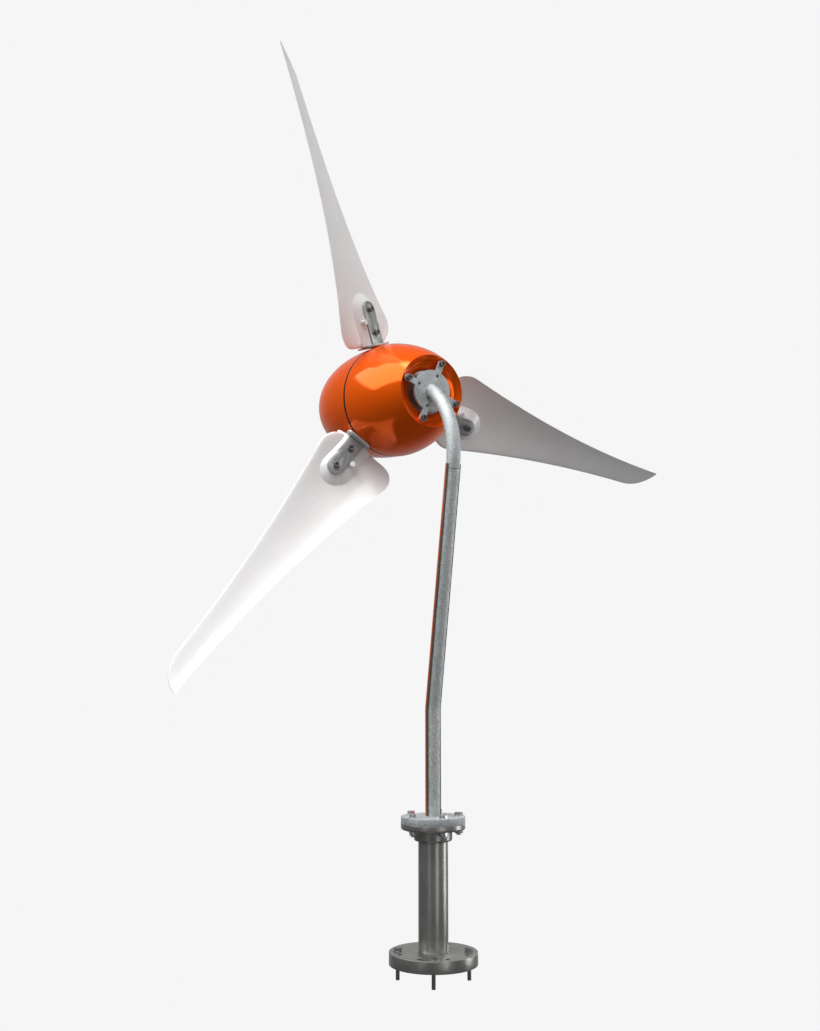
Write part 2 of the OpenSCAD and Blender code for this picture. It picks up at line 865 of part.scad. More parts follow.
// Blade surface: span fraction, chord, pitch and the chord line's place at radius r
function span(r) = (r - taper_from) / (tip_r - taper_from);
function chord(r) = tip_chord + (root_chord - tip_chord) * pow(1 - span(r), 2);
function pitch_at(r) = root_pitch + pitch_gain * span(r) - pitch_fade * pow(span(r), 2);
function corner(r) = let (d = min(1, max(0, (r - blade_root) / corner_len)))
  corner_len * (1 - sqrt(1 - pow(1 - d, 2)));
function tip_cut(r) = let (u = min(1, max(0, (r - tip_r + tip_len) / tip_len)))
  sqrt(1 - pow(u, tip_power));
function trail_x(r) = chord(r) / 2 - corner(r);
function lead_x(r) = chord(r) / 2 - (chord(r) - corner(r)) * tip_cut(r);

// Half thickness over chord of the section, x from the leading edge
function half_t(x) = 5 * (0.2969 * sqrt(x) - 0.126 * x - 0.3516 * x * x + 0.2843 * pow(x, 3) - 0.1036 * pow(x, 4));

// Section ring at radius r: up the rear side from the trailing edge, back along the front side
section_steps = 11;
function section_x(k) = 0.5 - 0.5 * cos(180 * k / section_steps);
function section_point(r, x, side) = let (
    w = trail_x(r) - lead_x(r),
    c = chord(r),
    across = lead_x(r) + x * w,
    unit = 0.5 + across / c,
    mean = section_camber * (1 - 0.5 * max(0, span(r))) * c * 4 * unit * (1 - unit),
    thick = section_t * c * sqrt(w / c) * half_t(x),
    z = mean + side * thick,
    b = pitch_at(r))
  [sweep_root + sweep_gain * pow(max(0, span(r)), 2) + across * cos(b) + z * sin(b), r,
   axial_root + axial_gain * span(r) - across * sin(b) + z * cos(b)];
function section_ring(r) = concat(
  [for (k = [section_steps : -1 : 0]) section_point(r, section_x(k), -1)],
  [for (k = [1 : section_steps - 1]) section_point(r, section_x(k), 1)]);

root_stations = [for (a = [0 : 18 : 90]) blade_root + corner_len * (1 - cos(a))];
mid_stations = [for (k = [1 : 8]) blade_root + corner_len
  + (tip_r - tip_len - blade_root - corner_len) * k / 9];
tip_stations = [for (a = [0 : 12 : 84]) tip_r - tip_len * (1 - sin(a))];
blade_stations = concat(root_stations, mid_stations, tip_stations);

module blade_shell() {
  rings = [for (r = blade_stations) section_ring(r)];
  count = len(rings[0]);
  last = len(rings) - 1;
  points = [for (ring = rings) each ring];
  faces = concat(
    [[for (k = [0 : count - 1]) k]],
    [for (j = [0 : last - 1]) for (k = [0 : count - 1]) let (a = j * count + k,
        b = j * count + (k + 1) % count) each [[a, a + count, b + count], [a, b + count, b]]],
    [[for (k = [count - 1 : -1 : 0]) last * count + k]]);
  polyhedron(points = points, faces = faces);
}

module blade(i) {
  color(white) at_blade(i) difference() {
    union() {
      blade_shell();
      pitched() {
        boss();
        translate([peg_x, notch_y, -bracket_plate_t - 1]) cylinder(r = peg_r, h = boss_h + 8);
        translate([0, 0, front_pad_z]) linear_extrude(front_plate_z - front_pad_z)
          strap(blade_root, screw_out_r, front_pad_w);
      }
    }
    pitched() for (y = [screw_in_r, screw_out_r]) {
      translate([0, y, -20]) cylinder(r = blade_hole_r, h = 90);
    }
  }
}

// Raised pad with sloping sides under the rear bracket plate
module boss() {
  hull() {
    linear_extrude(boss_skin) strap(blade_root, screw_out_r, boss_top_w, $fn = 32);
    translate([0, 0, boss_h]) linear_extrude(boss_skin) {
      translate([0, screw_out_r]) circle(r = boss_base_w, $fn = 32);
      translate([-boss_lead_w, blade_root]) square([boss_lead_w + boss_trail_w, 1]);
    }
  }
}

module nose_cover() {
  steps = 30;
  inner_r = nose_r - cover_wall;
  inner_len = nose_len - cover_wall;
  color(orange) at_station(nose_n) difference() {
    rotate_extrude($fn = 120) polygon(concat(
      [for (k = [0 : steps]) let (n = nose_len * sin(90 * k / steps)) [nose_at(nose_n + n), n]],
      [for (k = [steps : -1 : 0]) let (n = inner_len * sin(90 * k / steps))
        [egg(n, inner_r, inner_len, nose_power), n]]));
    translate([0, 0, nose_len - 20]) cylinder(r = nose_screw_r + 0.5, h = 40);
  }
}

module nose_post() {
  post_gap = 0.2;
  post_len = nose_n + nose_len - cover_wall - post_gap - post_n;
  color(bright_steel) at_station(post_n) difference() {
    cylinder(r = post_r, h = post_len);
    translate([0, 0, post_len - 20]) cylinder(r = nose_screw_r, h = 40);
  }
}

module nose_screw() {
  color(bright_steel) at_station(nose_n + nose_len) {
    cylinder(r = 7, h = 4);
    translate([0, 0, -20]) cylinder(r = nose_screw_r, h = 20);
  }
}

// ---------- nodes ----------

base_flange();
standpipe();
anchor_bolts();
anchor_washers();
yaw_spindle();
yaw_inner_races();
yaw_balls();
inner_spacer();
yaw_lock_nut();
slip_ring_body();
yaw_hub();
yaw_outer_races();
outer_spacer();
bearing_retainer();
yaw_seal();
slip_ring_rotor();
mast_flange();
flange_bolts();
flange_nuts();
mast_pipe();
mast_elbow();
mast_fairing();
fairing_rivets();
mounting_plate();
lug_screws();
rear_cover();
generator_rear_bell();
generator_case();
generator_front_bell();
generator_screws();
stator_core();
stator_coils();
generator_outer_races();
shaft_seal();
rotor_shaft();
generator_inner_races();
generator_balls();
magnet_carrier();
magnets();
rotor_hub();
hub_washer();
hub_nut();
blade_foot(0);  // blade_foot_a
blade_foot(1);  // blade_foot_b
blade_foot(2);  // blade_foot_c
blade_plates(0);  // blade_plates_a
blade_plates(1);  // blade_plates_b
blade_plates(2);  // blade_plates_c
blade(0);  // blade_a
blade(1);  // blade_b
blade(2);  // blade_c
blade_screws();
blade_nuts();
nose_cover();
nose_post();
nose_screw();
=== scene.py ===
import json
import math

import bmesh
import bpy
from mathutils import Matrix, Vector


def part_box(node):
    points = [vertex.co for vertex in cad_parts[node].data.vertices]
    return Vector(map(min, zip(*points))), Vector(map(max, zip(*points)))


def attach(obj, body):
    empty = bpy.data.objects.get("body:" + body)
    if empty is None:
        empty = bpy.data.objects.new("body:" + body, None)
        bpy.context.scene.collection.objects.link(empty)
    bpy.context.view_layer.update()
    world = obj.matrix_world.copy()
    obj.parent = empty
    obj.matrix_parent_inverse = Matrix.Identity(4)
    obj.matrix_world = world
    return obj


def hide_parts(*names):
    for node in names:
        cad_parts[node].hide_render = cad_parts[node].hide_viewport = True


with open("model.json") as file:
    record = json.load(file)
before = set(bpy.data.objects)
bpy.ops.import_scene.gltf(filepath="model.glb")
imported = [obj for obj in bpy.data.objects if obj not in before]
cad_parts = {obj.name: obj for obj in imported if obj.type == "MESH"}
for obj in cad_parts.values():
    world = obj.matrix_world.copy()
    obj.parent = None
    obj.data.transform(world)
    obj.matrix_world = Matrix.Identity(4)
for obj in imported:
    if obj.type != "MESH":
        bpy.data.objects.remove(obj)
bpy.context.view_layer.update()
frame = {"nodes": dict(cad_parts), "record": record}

scene = bpy.context.scene

# ---------- the object's frames, in metres ----------

BODIES = frame["record"]["behaviour"]["bodies"]
BODY_OF = {node: body for body, members in BODIES.items() for node in members}
HUB_HEIGHT = 1.480
SHAFT_TILT = math.radians(4.2)
PARK = math.radians(19.9)
ROOT_PITCH_DEG = 23
ROOT_PITCH = math.radians(ROOT_PITCH_DEG)
BRACKET_N = 0.2097
BLADES = "abc"

ROTOR = Matrix.Translation((0, 0, HUB_HEIGHT)) @ Matrix.Rotation(math.pi / 2 - SHAFT_TILT, 4, "X")


def blade_frame(i):
    """Frame of blade i: Y outwards along the blade, Z towards the nose, X to the trailing edge."""
    return ROTOR @ Matrix.Rotation(i * math.tau / 3 - PARK, 4, "Z")


def bracket_frame(i):
    """Frame of blade i's bracket: turned by the root's pitch, Z through the bracket's plates."""
    pitched = Matrix.Translation((0, 0, BRACKET_N)) @ Matrix.Rotation(ROOT_PITCH, 4, "Y")
    return blade_frame(i) @ pitched


# ---------- materials ----------

def shader(name, color, rough, metal=0.0, coat=0.0, coat_rough=0.03, specular=0.5):
    """A Principled material, and its tree and shader node."""
    mat = bpy.data.materials.new(name)
    mat.use_nodes = True
    tree = mat.node_tree
    bsdf = tree.nodes["Principled BSDF"]
    bsdf.inputs["Base Color"].default_value = (*color, 1)
    bsdf.inputs["Roughness"].default_value = rough
    bsdf.inputs["Metallic"].default_value = metal
    bsdf.inputs["Coat Weight"].default_value = coat
    bsdf.inputs["Coat Roughness"].default_value = coat_rough
    bsdf.inputs["Specular IOR Level"].default_value = specular
    return mat, tree, bsdf


def object_coords(tree):
    return tree.nodes.new("ShaderNodeTexCoord").outputs["Object"]


def noise(tree, where, scale, detail=3.0, rough=0.5):
    node = tree.nodes.new("ShaderNodeTexNoise")
    node.inputs["Scale"].default_value = scale
    node.inputs["Detail"].default_value = detail
    node.inputs["Roughness"].default_value = rough
    tree.links.new(where, node.inputs["Vector"])
    return node.outputs["Fac"]


def cells(tree, where, scale):
    """Grey value per crystal of a galvanised surface."""
    node = tree.nodes.new("ShaderNodeTexVoronoi")
    node.inputs["Scale"].default_value = scale
    tree.links.new(where, node.inputs["Vector"])
    grey = tree.nodes.new("ShaderNodeRGBToBW")
    tree.links.new(node.outputs["Color"], grey.inputs["Color"])
    return grey.outputs["Val"]


def ramp(tree, value, low, high, dark, light):
    """Colour ramp from dark at low to light at high."""
    node = tree.nodes.new("ShaderNodeValToRGB")
    first, last = node.color_ramp.elements[0], node.color_ramp.elements[1]
    first.position, last.position = low, high
    first.color, last.color = (*dark, 1), (*light, 1)
    tree.links.new(value, node.inputs["Fac"])
    return node.outputs["Color"]


def spread(tree, value, low, high):
    """Maps the middle of a noise, where most of its values are, to the range low to high."""
    node = tree.nodes.new("ShaderNodeMapRange")
    node.inputs["From Min"].default_value = 0.3
    node.inputs["From Max"].default_value = 0.7
    node.inputs["To Min"].default_value = low
    node.inputs["To Max"].default_value = high
    tree.links.new(value, node.inputs["Value"])
    return node.outputs["Result"]


def blend_color(tree, factor, a, b, mode="MIX"):
    node = tree.nodes.new("ShaderNodeMix")
    node.data_type = "RGBA"
    node.blend_type = mode
    node.inputs["Factor"].default_value = factor
    tree.links.new(a, node.inputs["A"])
    tree.links.new(b, node.inputs["B"])
    return node.outputs["Result"]


def bump(tree, bsdf, height, strength, depth):
    node = tree.nodes.new("ShaderNodeBump")
    node.inputs["Strength"].default_value = strength
    node.inputs["Distance"].default_value = depth
    tree.links.new(height, node.inputs["Height"])
    tree.links.new(node.outputs["Normal"], bsdf.inputs["Normal"])


def textured(name, dark, light, rough, metal=0.0, grain=60.0, bump_scale=900.0,
             bump_depth=0.00005):
    """A surface whose colour and roughness wander with a noise, over a fine bump."""
    mat, tree, bsdf = shader(name, light, rough[0], metal)
    where = object_coords(tree)
    wander = noise(tree, where, grain, 4.0)
    tree.links.new(ramp(tree, wander, 0.32, 0.68, dark, light), bsdf.inputs["Base Color"])
    tree.links.new(spread(tree, wander, rough[0], rough[1]), bsdf.inputs["Roughness"])
    bump(tree, bsdf, noise(tree, where, bump_scale, 3.0), 0.5, bump_depth)
    return mat


def galvanised():
    """Hot-dip zinc: small crystals over large ones, under a faint haze."""
    mat, tree, bsdf = shader("galvanised", (0.6, 0.62, 0.63), 0.6, 0.6)
    where = object_coords(tree)
    coarse = cells(tree, where, 130.0)
    fine = cells(tree, where, 330.0)
    cloud = noise(tree, where, 18.0, 5.0, 0.6)
    big = ramp(tree, coarse, 0.1, 0.95, (0.43, 0.46, 0.475), (0.63, 0.65, 0.66))
    small = ramp(tree, fine, 0.1, 0.95, (0.36, 0.39, 0.405), (0.76, 0.76, 0.73))
    mixed = blend_color(tree, 0.6, big, small)
    haze = ramp(tree, cloud, 0.3, 0.75, (0.84, 0.87, 0.89), (1.0, 1.0, 1.0))
    color = blend_color(tree, 0.8, mixed, haze, "MULTIPLY")
    tree.links.new(color, bsdf.inputs["Base Color"])
    tree.links.new(spread(tree, coarse, 0.56, 0.7), bsdf.inputs["Roughness"])
    bump(tree, bsdf, fine, 0.25, 0.00008)
    return mat


def orange_lacquer(name, color, dark):
    """Glossy lacquer: pigment with a little fine flake under a smooth surface."""
    mat, tree, bsdf = shader(name, color, 0.1, 0.35, specular=0.17)
    where = object_coords(tree)
    wander = noise(tree, where, 9.0, 3.0)
    tree.links.new(ramp(tree, wander, 0.3, 0.7, dark, color), bsdf.inputs["Base Color"])
    fine = noise(tree, where, 700.0, 2.0)
    tree.links.new(spread(tree, fine, 0.09, 0.13), bsdf.inputs["Roughness"])
    bump(tree, bsdf, noise(tree, where, 420.0, 1.0), 0.05, 0.00003)
    return mat


def gel_coat():
    """White moulded blade skin with faint mottling and a fine satin grain."""
    mat, tree, bsdf = shader("blade_white", (0.80, 0.79, 0.785), 0.42, coat=0.6, coat_rough=0.09)
    where = object_coords(tree)
    wander = noise(tree, where, 14.0, 5.0, 0.6)
    mottled = ramp(tree, wander, 0.3, 0.7, (0.77, 0.755, 0.75), (0.82, 0.815, 0.81))
    tree.links.new(mottled, bsdf.inputs["Base Color"])
    fine = noise(tree, where, 320.0, 3.0)
    tree.links.new(spread(tree, fine, 0.38, 0.5), bsdf.inputs["Roughness"])
    bump(tree, bsdf, noise(tree, where, 1100.0, 2.0), 0.12, 0.00003)
    return mat


def laminated():
    """Stacked sheets: fine bands along the rotor axis."""
    mat, tree, bsdf = shader("laminations", (0.35, 0.36, 0.38), 0.45, 0.8)
    wave = tree.nodes.new("ShaderNodeTexWave")
    wave.bands_direction = "Y"
    wave.inputs["Scale"].default_value = 320.0
    tree.links.new(object_coords(tree), wave.inputs["Vector"])
    banded = ramp(tree, wave.outputs["Fac"], 0.2, 0.8, (0.2, 0.21, 0.22), (0.42, 0.43, 0.45))
    tree.links.new(banded, bsdf.inputs["Base Color"])
    bump(tree, bsdf, wave.outputs["Fac"], 0.4, 0.0001)
    return mat


# Dark and light colour, roughness range, and what differs from textured()'s usual surface
LOOKS = {
    "dark_steel": {"dark": (0.37, 0.367, 0.35), "light": (0.42, 0.417, 0.40), "rough": (0.30, 0.38),
                   "metal": 0.9, "grain": 24.0, "bump_scale": 700.0, "bump_depth": 0.00002},
    "fasteners": {"dark": (0.52, 0.53, 0.53), "light": (0.68, 0.69, 0.68), "rough": (0.26, 0.42),
                  "metal": 0.9, "grain": 120.0},
    "dark_screws": {"dark": (0.15, 0.148, 0.142), "light": (0.22, 0.217, 0.208),
                    "rough": (0.28, 0.42), "metal": 0.8, "grain": 160.0},
    "turned_steel": {"dark": (0.45, 0.46, 0.47), "light": (0.62, 0.63, 0.64), "rough": (0.2, 0.34),
                     "metal": 1.0, "grain": 300.0},
    "bearing_steel": {"dark": (0.6, 0.61, 0.62), "light": (0.72, 0.73, 0.74), "rough": (0.1, 0.2),
                      "metal": 1.0, "grain": 200.0},
    "slip_ring": {"dark": (0.10, 0.07, 0.04), "light": (0.2, 0.15, 0.09), "rough": (0.3, 0.45),
                  "grain": 90.0},
    # The seal material also serves as painted shade: black in the seam between the covers and on
    # the walls of the base flange's bolt holes.
    "seal": {"dark": (0.02, 0.02, 0.02), "light": (0.04, 0.04, 0.04), "rough": (0.6, 0.8),
             "grain": 200.0},
    "copper": {"dark": (0.5, 0.2, 0.08), "light": (0.72, 0.34, 0.16), "rough": (0.25, 0.4),
               "metal": 0.9, "grain": 600.0, "bump_depth": 0.0002},
    "magnet": {"dark": (0.42, 0.42, 0.44), "light": (0.56, 0.56, 0.58), "rough": (0.18, 0.3),
               "metal": 1.0, "grain": 90.0},
    "bracket_grey": {"dark": (0.36, 0.38, 0.375), "light": (0.42, 0.44, 0.435),
                     "rough": (0.34, 0.42), "metal": 0.8, "grain": 45.0, "bump_scale": 700.0,
                     "bump_depth": 0.00004},
    "anchor_steel": {"dark": (0.28, 0.28, 0.27), "light": (0.36, 0.36, 0.35), "rough": (0.3, 0.42),
                     "metal": 0.85, "grain": 160.0},
    # Partly painted light: the feet are a lighter grey than the brackets, standing for the key
    # lamp's light on their faces, over a rougher, less metallic finish.
    "foot_grey_painted_light": {"dark": (0.56, 0.57, 0.57), "light": (0.64, 0.65, 0.65), "rough": (0.45, 0.55),
                  "metal": 0.4},
    # Painted shade: a dark brown band standing for the shade on the legs of the mast's fairing.
    "painted_shade_trim": {"dark": (0.085, 0.045, 0.030), "light": (0.125, 0.068, 0.046),
                  "rough": (0.5, 0.62), "grain": 220.0},
    "weld": {"dark": (0.2, 0.21, 0.21), "light": (0.34, 0.35, 0.35), "rough": (0.5, 0.65),
             "metal": 0.5, "grain": 300.0},
}
MATERIALS = {name: textured(name, **look) for name, look in LOOKS.items()}
MATERIALS["galvanised"] = galvanised()
MATERIALS["orange_sheet"] = orange_lacquer("orange_sheet", (0.88, 0.12, 0.006),
                                           (0.84, 0.105, 0.005))
MATERIALS["orange_paint"] = orange_lacquer("orange_paint", (0.93, 0.118, 0.003),
                                           (0.90, 0.108, 0.0025))
MATERIALS["laminations"] = laminated()
MATERIALS["blade_white"] = gel_coat()
SLOT_OF = {part["node"]: part["material_slot"] for part in frame["record"]["subparts"]}


# ---------- mesh helpers ----------

def as_object(name, bm):
    bmesh.ops.recalc_face_normals(bm, faces=bm.faces)
    mesh = bpy.data.meshes.new(name)
    bm.to_mesh(mesh)
    bm.free()
    obj = bpy.data.objects.new(name, mesh)
    scene.collection.objects.link(obj)
    return obj


def smooth(mesh, angle):
    """Smooth shading that breaks at edges sharper than the angle, in degrees."""
    for polygon in mesh.polygons:
        polygon.use_smooth = True
    mesh.set_sharp_from_angle(angle=math.radians(angle))


def finish_piece(name, bm, nodes, smooth_angle=35.0, matrix=None):
    """Turns a bmesh into a piece that rides on its nodes' body and stands for them."""
    if matrix is not None:
        bm.transform(matrix)
    piece = as_object(name, bm)
    smooth(piece.data, smooth_angle)
    adopt(piece, nodes)
    return piece


def adopt(piece, nodes):
    """Gives a piece the material slot and the body of the nodes that it stands for."""
    slot = SLOT_OF[nodes[0]]
    piece.data.materials.append(MATERIALS[slot])
    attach(piece, BODY_OF[nodes[0]])
    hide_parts(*nodes)


def bridge(bm, a, b):
    """Quads between two rings with as many vertices."""
    for k in range(len(a)):
        m = (k + 1) % len(a)
        bm.faces.new((a[k], a[m], b[m], b[k]))


def skin(bm, rings, closed=True):
    """Quads between rings of points; closed also joins the last ring to the first."""
    rows = [[bm.verts.new(point) for point in ring] for ring in rings]
    pairs = list(zip(rows, rows[1:]))
    if closed:
        pairs.append((rows[-1], rows[0]))
    for a, b in pairs:
        bridge(bm, a, b)
    return rows


def lathe(bm, outline, around=256):
    """Turns a closed outline of (radius, height) about Z."""
    rings = []
    for k in range(around):
        angle = k * math.tau / around
        rings.append([(r * math.cos(angle), r * math.sin(angle), z) for r, z in outline])
    skin(bm, rings)


def rounded(outline, corners, steps=6):
    """The outline with some corners rounded: corners maps a point's index to its radius."""
    out = []
    count = len(outline)
    for i, point in enumerate(outline):
        if i not in corners:
            out.append(point)
            continue
        here = Vector(point)
        to_prev = Vector(outline[i - 1]) - here
        to_next = Vector(outline[(i + 1) % count]) - here
        half = to_prev.angle(to_next) / 2
        reach = corners[i] / math.tan(half)
        start = here + to_prev.normalized() * reach
        end = here + to_next.normalized() * reach
        for s in range(steps + 1):
            t = s / steps
            out.append(tuple((1 - t) ** 2 * start + 2 * t * (1 - t) * here + t * t * end))
    return out


def sweep(bm, section, path):
    """Open sweep of a section of (x, towards the rear) along a path of (place, direction).

    The path lies in the plane X = 0."""
    side = Vector((1, 0, 0))
    rings = []
    for place_at, along in path:
        rear = along.cross(side).normalized()
        rings.append([place_at + side * x + rear * y for x, y in section])
    return skin(bm, rings, closed=False)


SHARP, MERGE_DIST, FLAT_ANGLE = math.radians(30), 0.00001, math.radians(0.6)


def refined(node, width):
    """The CAD node's own shape, with every sharp edge rounded over the width."""
    bm = bmesh.new()
    bm.from_mesh(frame["nodes"][node].data)
    bmesh.ops.remove_doubles(bm, verts=bm.verts, dist=MERGE_DIST)
    bmesh.ops.dissolve_limit(bm, angle_limit=FLAT_ANGLE, verts=bm.verts, edges=bm.edges)
    sharp = [e for e in bm.edges if len(e.link_faces) == 2 and e.calc_face_angle(0) > SHARP]
    if sharp:
        bmesh.ops.bevel(bm, geom=sharp, offset=width, offset_type="OFFSET", segments=3,
                        profile=0.5, affect="EDGES", clamp_overlap=True)
    return finish_piece(node + "_v", bm, [node], 32.0)


# ---------- nacelle covers ----------

COVER_R, COVER_LEN, COVER_POWER, COVER_PEAK = 0.1597, 0.277, 1.66, 0.194
NOSE_R, NOSE_LEN, NOSE_POWER = 0.1585, 0.300, 2.4
NOSE_N, PAINTED_SHADE_LIP = 0.2065, 0.002
COVER_FRONT = 0.199
COVER_WALL = 0.004
LUG_R, LUG_TURN, PILLAR_R = 0.0815, math.radians(18.75), 0.009
PILLAR_REAR, PILLAR_BORE, PILLAR_GAP, BELL_N = 0.0056, 0.0056, 0.0004, 0.030
CAVITY_N, TIP_HOLE_R, NEAR_TIP = 0.018, 0.0043, 0.001
# From the inner ring over the stepped mouth to the rolled rim, as (radius, station)
MOUTH = [(0.088, CAVITY_N), (0.061, 0.027), (0.061, 0.023), (0.081, 0.0152), (0.0832, 0.0146),
         (0.084, 0.0138), (0.0978, 0.0012)]
MOUTH_ROUNDING = {1: 0.0015, 2: 0.0015, 6: 0.0008}


def egg(u, r, length, power):
    """Radius of an egg shape at the distance u from its thickest station."""
    return r * (1 - min(abs(u) / length, 1) ** power) ** (1 / power)


def cover_radius(n):
    return egg(COVER_PEAK - n, COVER_R, COVER_LEN, COVER_POWER)


def paint_shade_band(bm, low, high):
    """Gives the faces between two stations the second material, black, as painted shade."""
    for face in bm.faces:
        if all(low - 0.00001 < v.co.z < high + 0.00001 for v in face.verts):
            face.material_index = 1


def rear_cover():
    """Egg-shaped shell with a rolled rim, a stepped mouth, an inner ring and four pillars."""
    steps = 64
    outside = []
    for k in range(1, steps):
        n = COVER_FRONT * k / steps
        outside.append((cover_radius(n), n))
    inside = []
    for k in range(steps // 2 + 1):
        n = COVER_FRONT - (COVER_FRONT - CAVITY_N) * k / (steps // 2)
        inside.append((cover_radius(n) - COVER_WALL, n))
    front_edge = [(cover_radius(COVER_FRONT) - inset, COVER_FRONT) for inset in (0.0006, 0.003)]
    mouth = rounded(MOUTH + [(cover_radius(0) + 0.0001, 0.0)], MOUTH_ROUNDING)
    bm = bmesh.new()
    lathe(bm, outside + front_edge + inside + mouth)
    # Painted shade: the front edge face turns black, for the shade in the seam between the covers.
    paint_shade_band(bm, COVER_FRONT, COVER_FRONT)
    shell = finish_piece("rear_cover_v", bm, ["rear_cover"], 30.0, ROTOR)
    shell.data.materials.append(MATERIALS["seal"])

    pillar_front = BELL_N - PILLAR_GAP
    outline = rounded([(PILLAR_R, pillar_front), (PILLAR_R, PILLAR_REAR),
                       (PILLAR_BORE, PILLAR_REAR), (PILLAR_BORE, pillar_front)], {1: 0.001})
    bm = bmesh.new()
    for k in range(4):
        turn = Matrix.Rotation(LUG_TURN + k * math.tau / 4, 4, "Z")
        part = bmesh.new()
        lathe(part, outline, 48)
        part.transform(turn @ Matrix.Translation((0, LUG_R, 0)))
        mesh = bpy.data.meshes.new("part")
        part.to_mesh(mesh)
        part.free()
        bm.from_mesh(mesh)
        bpy.data.meshes.remove(mesh)
    finish_piece("cover_pillars_v", bm, ["rear_cover"], 30.0, ROTOR)


def nose_cover():
    """Egg-shaped shell with a hole for the centre screw, and painted shade in black around its open
    edge.
    """
    steps = 72
    outline = []
    for k in range(steps):
        a = math.pi / 2 * k / steps
        n = NOSE_LEN * math.sin(a)
        outline.append((egg(n, NOSE_R, NOSE_LEN, NOSE_POWER), NOSE_N + n))
    outline.insert(1, (egg(PAINTED_SHADE_LIP, NOSE_R, NOSE_LEN, NOSE_POWER), NOSE_N + PAINTED_SHADE_LIP))
    outline = [p for p in outline if p[0] > TIP_HOLE_R] + [(TIP_HOLE_R, NOSE_N + NOSE_LEN)]
    inner_r, inner_len = NOSE_R - COVER_WALL, NOSE_LEN - COVER_WALL
    inner = []
    for k in range(steps):
        a = math.pi / 2 * (1 - k / steps)
        n = inner_len * math.sin(a)
        inner.append((egg(n, inner_r, inner_len, NOSE_POWER), NOSE_N + n))
    inner = [p for p in inner if p[0] > TIP_HOLE_R + NEAR_TIP]
    inner = [(TIP_HOLE_R, NOSE_N + NOSE_LEN - COVER_WALL)] + inner + [(inner_r, NOSE_N)]
    bm = bmesh.new()
    lathe(bm, outline + inner)
    # Painted shade: the open edge and a narrow band beside it turn black, for the shade in the seam
    # between the covers.
    paint_shade_band(bm, NOSE_N, NOSE_N + PAINTED_SHADE_LIP)
    shell = finish_piece("nose_cover_v", bm, ["nose_cover"], 30.0, ROTOR)
    shell.data.materials.append(MATERIALS["seal"])


# ---------- blades ----------

TIP_R, ROOT_CHORD, TIP_CHORD = 1.020, 0.226, 0.072
FOOT_R, FOOT_T = 0.1608, 0.005
BLADE_ROOT = FOOT_R + FOOT_T + 0.0007
TAPER_FROM, CORNER_LEN, TIP_LEN, TIP_POWER = 0.230, 0.070, 0.100, 2.2
SCREW_IN, SCREW_OUT = 0.199, 0.265
TWIST_DEG, TWIST_EASE_DEG = 36, 12
# The chord's middle: across the blade and along the rotor's axis, at the root and by span
MID_X, MID_X_SWEEP, MID_N, MID_N_RISE = 0.031, 0.0105, 0.198, 0.020
CAMBER, CAMBER_LOSS, THICKNESS, EDGE_HALF = 0.1, 0.5, 0.1, 0.0003
# Half width and height of each level, in the bracket's frame
BOSS_LEVELS = [(0.0255, 0.0), (0.0268, 0.0002), (0.0282, 0.0007), (0.0301, 0.0015)]
PAD_LEVELS = [(0.0300, 0.018), (0.0300, 0.0350), (0.0295, 0.0357), (0.0285, 0.036)]
BOSS_FOOT_HALF, BOSS_FOOT_Z, BOSS_FOOT_RIGHT, BOSS_FOOT_LEFT = 0.060, 0.0160, 0.050, -0.062
PEG_R, PEG_REAR, PEG_FRONT, PEG_X, PEG_ROUNDING = 0.008, -0.0065, 0.018, 0.033, 0.0012
AXIS_R = 0.0001


def span(r):
    """0 where the taper begins, 1 at the tip."""
    return (r - TAPER_FROM) / (TIP_R - TAPER_FROM)


def chord(r):
    return TIP_CHORD + (ROOT_CHORD - TIP_CHORD) * (1 - span(r)) ** 2


def pitch_at(r):
    return math.radians(ROOT_PITCH_DEG + TWIST_DEG * span(r) - TWIST_EASE_DEG * span(r) ** 2)


def corner(r):
    """How much the root's round corner takes off the chord, on each side."""
    d = min(1, max(0, (r - BLADE_ROOT) / CORNER_LEN))
    return CORNER_LEN * (1 - math.sqrt(max(0, 1 - (1 - d) ** 2)))


def tip_cut(r):
    """Share of the chord that the rounded tip leaves."""
    u = min(1, max(0, (r - TIP_R + TIP_LEN) / TIP_LEN))
    return math.sqrt(max(0, 1 - u ** TIP_POWER))


def half_thickness(x):
    """The four-digit wing section's half thickness at x from the leading edge, by chord."""
    return 5 * (0.2969 * math.sqrt(x) - 0.126 * x - 0.3516 * x ** 2 + 0.2843 * x ** 3
                - 0.1036 * x ** 4)


def blade_ring(r, steps=28):
    """Section at radius r, from the trailing edge along the rear side and back along the front."""
    c = chord(r)
    lead = c / 2 - (c - corner(r)) * tip_cut(r)
    width = c / 2 - corner(r) - lead
    s = max(0, span(r))
    b = pitch_at(r)
    ring = []
    for side, order in ((-1, range(steps, -1, -1)), (1, range(1, steps))):
        for k in order:
            x = 0.5 - 0.5 * math.cos(math.pi * k / steps)
            across = lead + x * width
            unit = 0.5 + across / c
            mean = CAMBER * (1 - CAMBER_LOSS * s) * c * 4 * unit * (1 - unit)
            thick = max(THICKNESS * c * math.sqrt(max(width, 0) / c) * half_thickness(x),
                        EDGE_HALF * (1 - x))
            z = mean + side * thick
            out_x = MID_X + MID_X_SWEEP * s * s + across * math.cos(b) + z * math.sin(b)
            out_n = MID_N + MID_N_RISE * span(r) - across * math.sin(b) + z * math.cos(b)
            ring.append((out_x, r, out_n))
    return ring


def stadium(half_width, outer, inner, steps=24):
    """Outline along Y: square end at inner, round end centred on outer."""
    points = [(half_width, inner)]
    for k in range(steps + 1):
        a = math.pi * k / steps
        points.append((half_width * math.cos(a), outer + half_width * math.sin(a)))
    points.append((-half_width, inner))
    return points


def closed_loft(bm, rings):
    """Solid through the rings, with a face at each end."""
    rows = skin(bm, rings, closed=False)
    bm.faces.new(rows[0])
    bm.faces.new(rows[-1])


